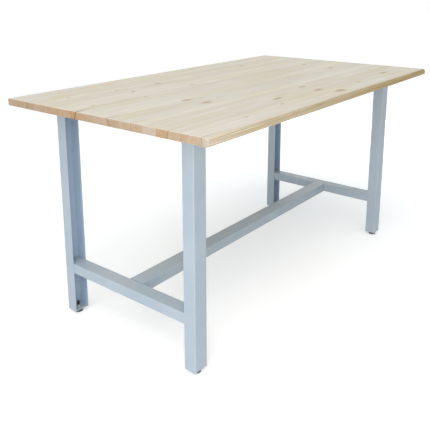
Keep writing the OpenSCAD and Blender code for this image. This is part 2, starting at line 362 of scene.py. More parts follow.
def makeZinc(s):
    finish, tree, place = newFinish("zincPlate")
    tone, wear = toneAndWear(tree, place, s)
    colour = blend(fade(tone, *s["toneLevels"]), s["colour"], s["tint"])
    colour = blend(noise(place, *s["dullSpots"]), colour, s["dull"])
    turning = noise(place, *s["turning"])
    rough = s["roughness"] + (tone - 0.5) * s["toneRough"] - wear["Edge"] * s["edgePolish"]
    return setShader(finish, {"Base Color": colour, "Roughness": clamped(rough), "Metallic": 1.0,
                              "Normal": bump(turning, s["turningDepth"])})


blackened = {
    "colour": rgb(0.030, 0.030, 0.034), "rubbed": rgb(0.16, 0.155, 0.15), "edgeRub": 0.4, "metallic": 0.8,
    "mottle": {"Broad": 120.0, "Fine": 1800.0, "Share": 0.35},
    "wear": {"Radius": 0.0005, "Amount": 0.6, "Patch": 350.0},
    "grain": (None, 900.0, 2.0, 0.5), "grainDepth": 0.00004,
    "roughFade": (0.35, 0.65, 0.30, 0.55),  # oiled to dry
}


def makeBlackenedSteel(s):
    finish, tree, place = newFinish("blackenedSteel")
    tone, wear = toneAndWear(tree, place, s)
    colour = blend(wear["Edge"] * s["edgeRub"], s["colour"], s["rubbed"])
    colour = blend(wear["Worn"], colour, s["rubbed"])
    grain = noise(place, *s["grain"])
    return setShader(finish, {"Base Color": colour, "Roughness": fade(tone, *s["roughFade"]),
                              "Metallic": s["metallic"], "Normal": bump(grain, s["grainDepth"])})


plastic = {
    "colour": rgb(0.018, 0.018, 0.020), "scuff": rgb(0.085, 0.085, 0.085), "dust": rgb(0.20, 0.19, 0.18),
    "mottle": {"Broad": 50.0, "Fine": 1200.0, "Share": 0.4}, "toneFade": (0.45, 0.7), "toneShare": 0.25,
    "wear": {"Radius": 0.001, "Amount": 0.75, "Patch": 220.0}, "dusting": {"Amount": 0.5, "Scale": 60.0},
    "grainScale": 1900.0, "grainSoftness": 0.6, "grainDepth": 0.00005,
    "roughness": 0.52, "dustRough": 0.5, "edgePolish": 0.12,
}


def makePlastic(s):
    finish, tree, place = newFinish("mouldedPlastic")
    tone, wear = toneAndWear(tree, place, s)
    dust = dustOver(tree, s)
    colour = blend(fade(tone, *s["toneFade"]) * s["toneShare"], s["colour"], s["scuff"])
    colour = blend(wear["Worn"], colour, s["scuff"])
    colour = blend(dust, colour, s["dust"])
    cells = {"Vector": place, "Scale": s["grainScale"], "Smoothness": s["grainSoftness"]}
    grain = output(tree, "ShaderNodeTexVoronoi", cells, "Distance", feature="SMOOTH_F1")
    rough = s["roughness"] + dust * s["dustRough"] - wear["Edge"] * s["edgePolish"]
    return setShader(finish, {"Base Color": colour, "Roughness": clamped(rough),
                              "Normal": bump(grain, s["grainDepth"])})


spruce = {
    # faces, light to dark
    "bleached": rgb(0.890, 0.835, 0.770), "early": rgb(0.835, 0.775, 0.675),
    "pinkish": rgb(0.805, 0.715, 0.605), "yellowish": rgb(0.790, 0.700, 0.485),
    "arris": rgb(0.800, 0.700, 0.520), "late": rgb(0.560, 0.430, 0.270), "glue": rgb(0.500, 0.410, 0.290),
    "knotHalo": rgb(0.610, 0.400, 0.180), "knotCore": rgb(0.370, 0.170, 0.065),
    "resin": rgb(0.420, 0.230, 0.080), "pocket": rgb(0.260, 0.110, 0.030),
    # long edges and end grain
    "edgeGold": rgb(0.465, 0.345, 0.150), "edgeDark": rgb(0.330, 0.200, 0.080),
    "endWhite": rgb(0.535, 0.470, 0.400), "endPale": rgb(0.510, 0.410, 0.310),
    "endOrange": rgb(0.445, 0.275, 0.125), "endRing": rgb(0.300, 0.165, 0.080),
    # growth rings: least and greatest distance, how strongly they show, and how they wander
    "ringSpacing": (0.002295, 0.00486), "ringShow": 0.42, "ringStreaks": (0.35, 0.75, 0.35, 1.0),
    "ringJitter": 2.2, "lateFrom": (0.30, 0.92), "lateTo": (1.0, 0.95), "haloRings": 0.4, "swirl": 0.55,
    "wavy": ((1.1, 7.0, 7.0), 1.0, 2.0, 0.5), "waviness": 0.030,
    "uneven": ((0.6, 22.0, 22.0), 1.0, 3.0, 0.55),
    # soft bands and hues, each stave with its own part of the noise
    "waveShift": 40.0, "streakShift": 17.0, "cloudShift": 9.0,
    "fibre": ((9.0, 900.0, 900.0), 1.0, 3.0, 0.6),
    "streak": ((0.9, 60.0, 60.0), 1.0, 3.0, 0.55), "streakFade": (0.60, 0.80, 0.0, 0.42),
    "cloud": ((1.8, 9.0, 9.0), 1.0, 2.0, 0.5), "cloudFade": (0.36, 0.66, 0.1, 0.95),
    "hues": ((2.4, 18.0, 18.0), 1.0, 4.0, 0.6, 0.38, 0.62), "hueShare": 0.6, "warmthShare": 0.4,
    "bleachPlace": ((4.5, 26.0, 26.0), (3.0, 7.0, 0.0)),
    "bleach": (None, 1.0, 3.0, 0.55, 0.57, 0.66, 0.0, 0.6),
    # the front edge, golder and darker towards the right: wood tone, with the change along it a painted shade
    # of light falling off
    "goldAndShadeFade": (-0.7, 0.9, 0.30, 1.0), "goldAndShadeCloud": 0.8, "edgeLate": 0.24,
    "band": ((2.2, 60.0, 190.0), 1.0, 2.0, 0.5, 0.46, 0.62, 0.0, 0.85),
    # end grain
    "paleFade": (0.0, 0.25), "orangeFade": (0.2, 0.8, 0.7, 1.0), "endRings": (0.22, 0.85),
    "blotch": ((1.0, 110.0, 45.0), 1.0, 3.0, 0.65), "blotchDark": (0.50, 0.68, 0.0, 0.30),
    "blotchPale": (0.48, 0.34, 0.0, 0.55), "pores": (None, 1300.0, 2.0, 0.6, 0.55, 0.75, 0.0, 0.25),
    "endArrisSheenFade": (0.8999, 0.8989, 0.0, 0.85),  # the sanded arris of an end lies inside this; it is painted paler, partly as sanded wood and partly as a painted highlight
    # one brown streak along the top of the front roll
    "rollZ": 0.9078, "rollHalf": (1.54 * mm, 0.33 * mm), "rollY": -0.480, "rollStart": -0.892,
    "rollFade": (0.35, -0.15, 0.15, 0.70), "rollWobble": ((3.0, 1.0, 1.0), 1.0, 2.0, 0.5), "wobble": 0.010,
    "rollBreaks": ((7.0, 1.0, 1.0), 1.0, 2.0, 0.5, 0.42, 0.58, 0.15, 1.0),
    "resinLines": ((2.2, 130.0, 130.0), 1.0, 2.0, 0.5, 0.72, 0.80), "resinEdge": 0.5, "resinAll": 0.22,
    "glueFade": (0.0006, 0.0001), "glueShare": 0.55, "toneValues": (0.97, 1.02),
    # surface
    "wear": {"Radius": 0.0028, "Amount": 0.3, "Patch": 80.0}, "sanding": 0.7, "sandingEdge": 0.6,
    "dusting": {"Amount": 0.25, "Scale": 7.0}, "roughness": 0.58, "coat": 0.03, "coatRough": 0.35,
    "fibreRough": 0.3, "endRough": 0.25, "corePolish": 0.15, "dustRough": 0.3, "reliefDepth": 0.00012,
    "fibreDepth": 0.5, "lateDepth": 0.4, "glueDepth": 1.2, "coreDepth": (0.3, 0.6, 0.0, 1.4),
    # knots: measures as shares of the radius
    "swirlFade": (5.0, 0.5), "knotEdge": 1.2, "rimAt": 0.92, "rimFade": (0.16, 0.03), "rimShade": (0.62, 1.0),
    "knotYears": 3.4, "knotYearFade": (0.25, 0.95, 0.0, 0.6), "coreFade": (1.04, 0.88),
    "haloFade": (2.3, 0.9), "haloShare": 0.55, "ragged": (None, 55.0, 3.0, 0.6),
    "coreRagged": (0.2, 0.7, 1.0, 0.6), "jitterScale": 42.0, "jitter": 6 * mm,
    # x, y, radius in mm, length against radius, darkness
    "knots": (
        (-500, -70, 9, 1.9, 0.45), (-490, -160, 9, 2.3, 0.50), (-290, 280, 7, 1.6, 0.65),
        (-500, 220, 6, 1.3, 0.85), (-750, 320, 4, 1.4, 0.40), (-790, 130, 4, 1.6, 0.35),
        (-520, 300, 4, 1.6, 0.40), (-550, 100, 5, 1.3, 0.45), (-220, 140, 4, 1.4, 0.50),
        (670, 90, 7, 1.8, 0.60), (640, -90, 7, 2.0, 0.55), (640, -380, 9, 2.4, 0.60),
        (30, -270, 7, 2.2, 0.45), (10, -360, 9, 2.2, 0.50), (50, -440, 12, 2.2, 0.80),
        (-260, -330, 6, 3.4, 0.95), (-340, -400, 4, 1.6, 0.60), (-600, -420, 4, 1.5, 0.40),
        (230, -80, 4, 1.4, 0.50), (310, -400, 5, 1.8, 0.55), (420, 330, 6, 1.6, 0.55),
    ),
    # resin pockets that reach the left end: y and half width in mm, lean, strength
    "pockets": (
        (95, 3.2, 0.35, 1.0), (-75, 2.2, -0.60, 0.75), (-97, 1.6, -0.50, 0.40), (-343, 1.8, 0.10, 0.60),
        (-476, 2.0, -0.15, 0.55), (-182, 1.6, 0.15, 0.50), (372, 1.8, 0.05, 0.55), (291, 1.5, 0.05, 0.35),
    ),
    "pocketEnd": (-0.80, -0.90), "pocketZ": 0.9, "pocketWander": 0.006, "pocketFade": (1.3 * mm, 0.4 * mm),
}


def makeKnot(s):
    takes = {"Position": "Vector", "Centre": "Vector", "Radius": 0.008, "Stretch": 2.0}
    tree, take, give = newGroup("knot", takes, {"Reach": "Float", "Swirl": "Float"})
    x, y, _ = split(vectorMaths("SUBTRACT", take["Position"], take["Centre"]))
    reach = vectorMaths("LENGTH", combine(x / take["Stretch"], y)) / take["Radius"]
    feed(give["Reach"], reach)
    feed(give["Swirl"], fade(reach, *s["swirlFade"]) * take["Radius"])
    return tree


def makeSpruce(s):
    finish, tree, place = newFinish("spruceBoard")
    nature, boldness = attribute(tree, "staveNature", "Color", "Alpha")
    tone, warmth, seed = split(nature, "Color")
    pith = attribute(tree, "pith", "Vector")[0]
    endFace, edgeFace, _ = split(attribute(tree, "woodFace", "Vector")[0])
    wavy = noise(place, *s["wavy"], w=seed * s["waveShift"])
    wandering = vectorMaths("ADD", place, combine(0.0, (wavy - 0.5) * s["waviness"]))
    # knots, gathered one by one
    nearest, dark, swirl = 9.0, 0.0, 0.0
    ragged = noise(place, *s["ragged"])
    clouds = output(tree, "ShaderNodeTexNoise", {"Vector": place, "Scale": s["jitterScale"]}, "Color")
    push = vectorMaths("SUBTRACT", clouds, (0.5, 0.5, 0.5))
    jittered = vectorMaths("ADD", place, vectorMaths("SCALE", push, scale=s["jitter"]))
    for x, y, radius, length, depth in s["knots"]:
        centre = (x * mm, y * mm, 0)
        out = useGroup(tree, knot, Position=jittered, Centre=centre, Radius=radius * mm, Stretch=length)
        here = maths("LESS_THAN", out["Reach"], s["knotEdge"]) * depth
        nearest = maths("MINIMUM", nearest, out["Reach"])
        dark = maths("MAXIMUM", dark, here)
        swirl = swirl + out["Swirl"]
    rim = fade(maths("ABSOLUTE", nearest - s["rimAt"]), *s["rimFade"])
    years = fade(maths("FRACT", nearest * s["knotYears"]), *s["knotYearFade"])
    shade = ramp(maths("MAXIMUM", rim, years), 0.0, 1.0, *s["rimShade"])
    core = fade(nearest, *s["coreFade"]) * shade * dark
    halo = fade(nearest, *s["haloFade"])
    # growth rings round the pith of each stave
    _, across, upward = split(vectorMaths("SUBTRACT", wandering, pith))
    square = maths("POWER", across, 2.0) + maths("POWER", upward, 2.0)
    reach = maths("SQRT", square) + swirl * s["swirl"]
    uneven = noise(place, *s["uneven"])
    spacing = ramp(boldness, 0.0, 1.0, *s["ringSpacing"])
    season = maths("FRACT", reach / spacing + uneven * s["ringJitter"])
    late = fade(season, *s["lateFrom"]) * fade(season, *s["lateTo"])
    # fine fibres and soft bands
    fibre = noise(wandering, *s["fibre"])
    streak = noise(wandering, *s["streak"], w=seed * s["streakShift"])
    cloud = noise(place, *s["cloud"], w=seed * s["cloudShift"])
    hue = warmth * s["warmthShare"] + noise(wandering, *s["hues"]) * s["hueShare"]
    base = blend(hue, s["pinkish"], s["yellowish"])
    base = blend(fade(cloud, *s["cloudFade"]), base, s["early"])
    base = blend(noise(stretch(wandering, *s["bleachPlace"]), *s["bleach"]), base, s["bleached"])
    show = fade(streak, *s["ringStreaks"]) * s["ringShow"]
    colour = blend(late * (show + halo * s["haloRings"]), base, s["late"])
    colour = blend(fade(streak, *s["streakFade"]), colour, s["late"])
    # the long edges
    x, y, z = split(place)
    # painted shade: the front edge turns darker and golder towards the right, as the light falls off
    goldAndShade = edgeFace * fade(x + cloud * s["goldAndShadeCloud"], *s["goldAndShadeFade"])
    colour = blend(goldAndShade, colour, s["edgeGold"])
    colour = blend(goldAndShade * noise(wandering, *s["band"]), colour, s["edgeDark"])
    colour = blend(edgeFace * late * s["edgeLate"], colour, s["edgeDark"])
    # end grain
    endBase = blend(fade(warmth, *s["paleFade"]), s["endWhite"], s["endPale"])
    endBase = blend(warmth * fade(cloud, *s["orangeFade"]), endBase, s["endOrange"])
    blotch = noise(place, *s["blotch"])
    endBase = blend(fade(blotch, *s["blotchDark"]), endBase, s["endRing"])
    endBase = blend(fade(blotch, *s["blotchPale"]), endBase, s["endWhite"])
    endColour = blend(late * ramp(boldness, 0.0, 1.0, *s["endRings"]), endBase, s["endRing"])
    endColour = blend(noise(place, *s["pores"]), endColour, s["endRing"])
    # the eased end arrises painted paler: sanded wood and a painted highlight
    endColour = blend(fade(maths("ABSOLUTE", x), *s["endArrisSheenFade"]), endColour, s["arris"])
    colour = blend(endFace, colour, endColour)
    # the streak on the roll
    line = s["rollZ"] + (noise(place, *s["rollWobble"]) - 0.5) * s["wobble"]
    onRoll = maths("LESS_THAN", y, s["rollY"]) * fade(maths("ABSOLUTE", z - line), *s["rollHalf"])
    onRoll = onRoll * maths("GREATER_THAN", x, s["rollStart"]) * fade(x, *s["rollFade"])
    colour = blend(onRoll * noise(place, *s["rollBreaks"]), colour, s["edgeDark"])
    # resin pockets near the left end, then resin lines, knots and glue
    nearLeft = fade(x, *s["pocketEnd"])
    wander = (ragged - 0.5) * s["pocketWander"]
    edge, heart = s["pocketFade"]
    for centre, half, lean, strength in s["pockets"]:
        bent = (y - centre * mm) + (z - s["pocketZ"]) * lean + wander
        pocket = fade(maths("ABSOLUTE", bent), half * edge, half * heart, 0.0, strength)
        colour = blend(pocket * nearLeft, colour, s["pocket"])
    resin = noise(wandering, *s["resinLines"]) * (edgeFace * s["resinEdge"] + s["resinAll"])
    colour = blend(resin, colour, s["resin"])
    colour = blend(halo * s["haloShare"], colour, s["knotHalo"])
    colour = blend(core * fade(ragged, *s["coreRagged"]), colour, s["knotCore"])
    before, after, _ = split(output(tree, "ShaderNodeUVMap", uv_map="staveSides"))
    glue = fade(maths("MINIMUM", before, after), *s["glueFade"])
    colour = blend(glue * s["glueShare"], colour, s["glue"])
    value = ramp(tone, 0.0, 1.0, *s["toneValues"])
    colour = output(tree, "ShaderNodeHueSaturation", {"Color": colour, "Value": value})
    # surface
    sanded = useGroup(tree, edgeWear, **s["wear"])["Edge"] * (s["sanding"] - edgeFace * s["sandingEdge"])
    colour = blend(sanded, colour, s["arris"])
    dust = dustOver(tree, s)
    rough = s["roughness"] + (fibre - 0.5) * s["fibreRough"] + endFace * s["endRough"]
    rough = rough - core * s["corePolish"] + dust * s["dustRough"]
    relief = fibre * s["fibreDepth"] + late * s["lateDepth"] - glue * s["glueDepth"]
    relief = relief - core * fade(ragged, *s["coreDepth"])
    return setShader(finish, {"Base Color": colour, "Roughness": clamped(rough), "Coat Weight": s["coat"],
                              "Coat Roughness": s["coatRough"], "Normal": bump(relief, s["reliefDepth"])})


knot = makeKnot(spruce)
paintedSteel, zincPlate = makePaintedSteel(paint), makeZinc(zinc)
mouldedPlastic, spruceBoard = makePlastic(plastic), makeSpruce(spruce)
blackenedSteel = makeBlackenedSteel(blackened)
print("finishes made")

sharpAngle, flatAngle = math.radians(40), math.radians(1)
fineArris = 0.3 * mm
hair = 0.001 * mm  # points as near as this are one


def nameOf(node):
    first, *others = node.split("_")
    return first + "".join(word.title() for word in others)


# low and high corner, middle and size
def boxOf(node):
    low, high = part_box(node)
    return SimpleNamespace(low=low, high=high, middle=(low + high) / 2, size=high - low)


def closeMesh(name, bm):
    mesh = bpy.data.meshes.new(name)
    bm.to_mesh(mesh)
    bm.free()
    return mesh


def newPiece(name, mesh, finish=None):
    mesh.name = name
    if finish and not mesh.materials:
        mesh.materials.append(finish)
    piece = bpy.data.objects.new(name, mesh)
    scene.collection.objects.link(piece)
    return piece


def takeMesh(piece):
    mesh = piece.data
    bpy.data.objects.remove(piece)
    return mesh


def settle(piece):
    bpy.context.view_layer.update()
    graph = bpy.context.evaluated_depsgraph_get()
    mesh = bpy.data.meshes.new_from_object(piece.evaluated_get(graph), depsgraph=graph)
    piece.modifiers.clear()
    piece.data = mesh
    mesh.name = piece.name
    return piece


def smoothOver(piece):
    for face in piece.data.polygons:
        face.use_smooth = True
    weights = piece.modifiers.new("weights", "WEIGHTED_NORMAL")
    weights.mode, weights.weight = "FACE_AREA", 50
    return settle(piece)


def easeEdges(piece, width):
    bevel = piece.modifiers.new("arris", "BEVEL")
    bevel.width, bevel.segments = width, 2
    bevel.limit_method, bevel.angle_limit = "ANGLE", sharpAngle
    return smoothOver(piece)


def growPiece(name, tree, values, mesh=None):
    piece = newPiece(name, mesh or bpy.data.meshes.new(name))
    grow = piece.modifiers.new("grow", "NODES")
    grow.node_group = tree
    for item in tree.interface.items_tree:
        if item.item_type == "SOCKET" and item.in_out == "INPUT" and item.name in values:
            grow[item.identifier] = values[item.name]
    return settle(piece)


def sharpen(piece, angle=sharpAngle):
    piece.data.shade_smooth()
    piece.data.set_sharp_from_angle(angle=angle)
    return piece


# a profile of (radius, height) turned round z; a radius may follow the angle, and a ring closes on itself
def polarMesh(name, rows, steps, ring=False):
    bm = bmesh.new()
    angles = [2 * math.pi * i / steps for i in range(steps)]
    loops = []
    for radius, height in rows:
        spots = [(radius(t) if callable(radius) else radius, t) for t in (angles if radius else angles[:1])]
        loops.append([bm.verts.new((r * math.cos(t), r * math.sin(t), height)) for r, t in spots])
    for lower, upper in zip(loops, loops[1:] + (loops[:1] if ring else [])):
        for i in range(steps):
            j = (i + 1) % steps
            low, high = len(lower), len(upper)
            face = dict.fromkeys((lower[i % low], lower[j % low], upper[j % high], upper[i % high]))
            if len(face) > 2:
                bm.faces.new(tuple(face))
    bmesh.ops.recalc_face_normals(bm, faces=bm.faces)
    return closeMesh(name, bm)


def joinMeshes(name, finish, *parts):
    bm = bmesh.new()
    for mesh, matrix in parts:
        mesh.transform(matrix)
        bm.from_mesh(mesh)
        bpy.data.meshes.remove(mesh)
    return sharpen(newPiece(name, closeMesh(name, bm), finish))


def hexRadius(flats, angle):
    turned = (angle + math.pi / 6) % (math.pi / 3) - math.pi / 6
    return flats / 2 / math.cos(turned)


# a rim of a hexagon, cut back by the cone of its chamfer
def hexRim(flats, cone):
    return lambda angle: min(hexRadius(flats, angle), cone)


def mount(piece, node, body="frame"):
    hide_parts(node)
    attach(piece, body)


board = {
    # front to rear, mm; how orange the end grain of each is
    "staveWidths": (24, 55, 33, 45, 50, 59, 44, 60, 61, 63, 53, 39, 39, 46, 54, 55, 55, 55, 55, 55),
    "staveWarmth": (0.00, 0.20, 0.40, 0.25, 0.95, 0.10, 0.25, 0.35, 0.30, 0.15,
                    0.45, 0.85, 1.00, 0.60, 0.75, 0.55, 0.40, 0.50, 0.40, 0.30),
    "frontRoll": 14 * mm, "frontUnder": 6 * mm, "rearUnder": 4 * mm, "rearArris": 1.5 * mm,
    "endArris": 2.2 * mm, "rollSteps": 10, "arrisSteps": 4, "underSteps": 6, "lengthSteps": 24, "seed": 11,
    # staves with bold rings, where the front one grew, and how far off the piths of the others lie
    "ringy": {8: 0.95, 9: 0.9, 0: 0.35}, "boldness": 1.6,
    "frontPith": (0.060, -0.034), "pithAside": 0.045, "pithAbove": (0.02, 0.075),
    "endSlope": 0.6, "edgeSlopes": (0.05, 0.6),  # normals from which a face is an end or an edge
}


def arc(centreY, centreZ, radius, start, stop, steps):
    turns = [math.radians(start + (stop - start) * i / steps) for i in range(steps + 1)]
    return [(centreY + radius * math.cos(turn), centreZ + radius * math.sin(turn)) for turn in turns]


def boardSection(s, low, high, inner):
    roll, under, rear, arris = (s[key] for key in ("frontRoll", "frontUnder", "rearUnder", "rearArris"))
    return [*arc(low.y + roll, high.z - roll, roll, 180, 90, s["rollSteps"]),
            *((y, high.z) for y in inner),
            *arc(high.y - arris, high.z - arris, arris, 90, 0, s["arrisSteps"]),
            *arc(high.y - rear, low.z + rear, rear, 0, -90, s["underSteps"]),
            *((y, low.z) for y in reversed(inner)),
            *arc(low.y + under, low.z + under, under, -90, -180, s["underSteps"])]


# x and inset of each section along the board
def boardStations(s, low, high):
    ease = s["endArris"]
    turns = [math.pi / 2 * i / s["arrisSteps"] for i in range(s["arrisSteps"] + 1)]
    eased = [(low.x + ease * (1 - math.cos(t)), ease * (1 - math.sin(t))) for t in turns]
    straight = high.x - low.x - 2 * ease
    middle = [(low.x + ease + straight * i / s["lengthSteps"], 0) for i in range(1, s["lengthSteps"])]
    return eased + middle + [(low.x + high.x - x, inset) for x, inset in reversed(eased)]


def boardMesh(s, low, high, inner):
    section = boardSection(s, low, high, inner)
    count = len(section)
    normals = []
    for i in range(count):
        (ya, za), (yb, zb) = section[i - 1], section[(i + 1) % count]
        along = Vector((yb - ya, zb - za)).normalized()
        normals.append(Vector((along.y, -along.x)))
    bm = bmesh.new()
    rows = [[bm.verts.new((x, y + n.x * inset, z + n.y * inset)) for (y, z), n in zip(section, normals)]
            for x, inset in boardStations(s, low, high)]
    for left, right in zip(rows, rows[1:]):
        for i in range(count):
            j = (i + 1) % count
            bm.faces.new((left[i], left[j], right[j], right[i]))
    # each end is closed stave by stave
    tops = [s["rollSteps"] + 1 + k for k in range(len(inner))]
    bottoms = [count - s["underSteps"] - 2 - k for k in range(len(inner))]
    for row, flip in ((rows[0], False), (rows[-1], True)):
        loops = [row[bottoms[0]:] + row[:tops[0] + 1]]
        for k in range(len(inner) - 1):
            loops.append([row[tops[k]], row[tops[k + 1]], row[bottoms[k + 1]], row[bottoms[k]]])
        loops.append(row[tops[-1]:bottoms[-1] + 1])
        for loop in loops:
            bm.faces.new(loop if flip else list(reversed(loop)))
    bmesh.ops.recalc_face_normals(bm, faces=bm.faces)
    return closeMesh("boardTop", bm)


def makeBoard(s):
    box, rng = boxOf("table_top"), random.Random(s["seed"])
    lines = [box.low.y]
    for width in s["staveWidths"]:
        lines.append(lines[-1] + width * box.size.y / sum(s["staveWidths"]))
    mesh = boardMesh(s, box.low, box.high, lines[1:-1])
    # what the finish needs to know about each stave
    piths, natures = [], []
    for k, warmth in enumerate(s["staveWarmth"]):
        up = rng.choice((-1, 1))
        aside = (lines[k] + lines[k + 1]) / 2 + rng.uniform(-s["pithAside"], s["pithAside"])
        piths.append((0.0, aside, box.middle.z + up * rng.uniform(*s["pithAbove"])))
        bold = rng.random() ** s["boldness"]
        natures.append((rng.random(), warmth, rng.random(), s["ringy"].get(k, bold)))
    piths[0] = (0.0, box.low.y + s["frontPith"][0], box.middle.z + s["frontPith"][1])
    pith = mesh.attributes.new("pith", "FLOAT_VECTOR", "FACE")
    nature = mesh.attributes.new("staveNature", "FLOAT_COLOR", "CORNER")
    woodFace = mesh.attributes.new("woodFace", "FLOAT_VECTOR", "FACE")
    sideMap = mesh.uv_layers.new(name="staveSides")
    flattest, steepest = s["edgeSlopes"]
    last = len(lines) - 2
    for face in mesh.polygons:
        k = max(i for i in range(last + 1) if face.center.y >= lines[i] - hair)
        pith.data[face.index].vector = piths[k]
        isEnd = abs(face.normal.x) > s["endSlope"]
        rolled = 0.0 if isEnd else max(0.0, min(1.0, (abs(face.normal.y) - flattest) / steepest))
        woodFace.data[face.index].vector = (float(isEnd), rolled, 0.0)
        for corner in face.loop_indices:
            y = mesh.vertices[mesh.loops[corner].vertex_index].co.y
            nature.data[corner].color = natures[k]
            # distances to the glue lines, with none at the front and rear edge
            sideMap.data[corner].uv = (y - lines[k] + (k == 0), lines[k + 1] - y + (k == last))
    mount(smoothOver(newPiece("boardTop", mesh, spruceBoard)), "table_top")


makeBoard(board)
print("board made")


def newGrowth(name, takes):
    return newGroup(name, {**takes, "Finish": "Material"}, {"Geometry": "Geometry"}, "GeometryNodeTree")


def geometryStep(kind, geometry, inputs=None, **settings):
    return output(treeOf(geometry), "GeometryNode" + kind, {0: geometry, **(inputs or {})}, **settings)


def endGrowth(tree, take, give, geometry):
    real = geometryStep("RealizeInstances", geometry)
    feed(give["Geometry"], geometryStep("SetMaterial", real, {"Material": take["Finish"]}))
    return tree


def makeFoldedSheet():
    tree, take, give = newGrowth("foldedSheet", {
        "Width": 0.065, "Depth": 0.05, "Length": 0.8, "Sheet": 0.0025, "Fold": 0.0015,
        "Steps": 7, "Closed": False})
    halfSheet = take["Sheet"] * 0.5
    halfWidth = take["Width"] * 0.5 - halfSheet
    depths = {"Switch": take["Closed"], "False": take["Depth"], "True": take["Depth"] - halfSheet}
    rim = output(tree, "GeometryNodeSwitch", depths, input_type="FLOAT")
    back = halfWidth * -1.0
    spots = ((back, rim), (back, halfSheet), (halfWidth, halfSheet), (halfWidth, rim))
    points = {f"Point {i + 1}": combine(*spot) for i, spot in enumerate(spots)}
    path = output(tree, "GeometryNodeCurvePrimitiveQuadrilateral", points, mode="POINTS")
    path = geometryStep("SetSplineCyclic", path, {"Cyclic": take["Closed"]})
    bend = {"Count": take["Steps"], "Radius": take["Fold"] + halfSheet}
    path = geometryStep("FilletCurve", path, bend, mode="POLY")
    path = geometryStep("SetCurveNormal", path, mode="Z_UP")
    strip = {"Width": take["Sheet"], "Height": take["Length"]}
    strip = output(tree, "GeometryNodeCurvePrimitiveQuadrilateral", strip)
    sweep = geometryStep("CurveToMesh", path, {"Profile Curve": strip, "Fill Caps": True})
    return endGrowth(tree, take, give, geometryStep("MergeByDistance", sweep, {"Distance": 0.01 * mm}))


foldedSheet = makeFoldedSheet()
steel = {
    "legSheet": 2.5 * mm, "tubeWall": 2 * mm, "stretcherSheet": 2.5 * mm, "fold": 1.5 * mm, "arris": 0.4 * mm,
    "skin": 2 * mm, "level": 0.5,  # faces deeper than the skin and less level are inside a channel
    # where the width, depth and length of the sheet point
    "barAxes": ((1, 0, 0), (0, 0, 1), (0, -1, 0)), "stretcherAxes": ((0, 1, 0), (0, 0, -1), (-1, 0, 0)),
}


def foldPiece(node, axes, width, depth, length, sheet, closed=False):
    values = {"Width": width, "Depth": depth, "Length": length, "Sheet": sheet, "Fold": steel["fold"],
              "Closed": closed, "Finish": paintedSteel}
    piece = growPiece(nameOf(node), foldedSheet, values)
    bm = bmesh.new()
    bm.from_mesh(piece.data)
    bmesh.ops.recalc_face_normals(bm, faces=bm.faces)
    bm.to_mesh(piece.data)
    bm.free()
    turn = Matrix(axes).transposed().to_4x4()
    centred = Matrix.Translation((0, -depth / 2, 0))
    piece.data.transform(Matrix.Translation(boxOf(node).middle) @ turn @ centred)
    return easeEdges(piece, steel["arris"])


# the faces inside a channel, where the finish paints bluer bounced light
def markInside(piece, box, facing):
    inside = piece.data.attributes.new("inside", "FLOAT", "FACE")
    skin, level = steel["skin"], steel["level"]
    for face in piece.data.polygons:
        fromWeb = (face.center.y - box.low.y) if facing > 0 else (box.high.y - face.center.y)
        deep = box.low.x + skin < face.center.x < box.high.x - skin and fromWeb > skin
        inside.data[face.index].value = float(deep and abs(face.normal.z) < level)


def dressedCopy(node, width):
    bm = bmesh.new()
    bm.from_mesh(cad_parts[node].data)
    bmesh.ops.remove_doubles(bm, verts=bm.verts, dist=hair)
    bmesh.ops.dissolve_limit(bm, angle_limit=flatAngle, verts=bm.verts, edges=bm.edges)
    mesh = closeMesh(nameOf(node), bm)
    mesh.materials.clear()
    mount(easeEdges(newPiece(nameOf(node), mesh, paintedSteel), width), node)


for corner in corners:
    node = f"leg_{corner}"
    box, facing = boxOf(node), -sides[corner.split("_")[0]]
    leg = foldPiece(node, ((facing, 0, 0), (0, facing, 0), (0, 0, 1)), *box.size, steel["legSheet"])
    markInside(leg, box, facing)
    mount(leg, node)

for end in ends:
    node = f"crossbar_{end}"
    size = boxOf(node).size
    mount(foldPiece(node, steel["barAxes"], size.x, size.z, size.y, steel["tubeWall"], True), node)

size = boxOf("stretcher").size
stretcher = foldPiece("stretcher", steel["stretcherAxes"], size.y, size.z, size.x, steel["stretcherSheet"])
mount(stretcher, "stretcher")

for end in ends:
    dressedCopy(f"top_rail_{end}", steel["arris"])
    dressedCopy(f"stretcher_plate_{end}", fineArris)
for corner in corners:
    dressedCopy(f"foot_plate_{corner}", fineArris)
print("steel made")


threadShape = {
    "flank": (0.12, 0.9), "deepest": 0.9, "tip": 0.2,  # shares of half a pitch and of the radius
    "slotReach": 1.5, "least": 0.01 * mm, "shown": 0.1 * mm,  # smaller points and slots are left out
}


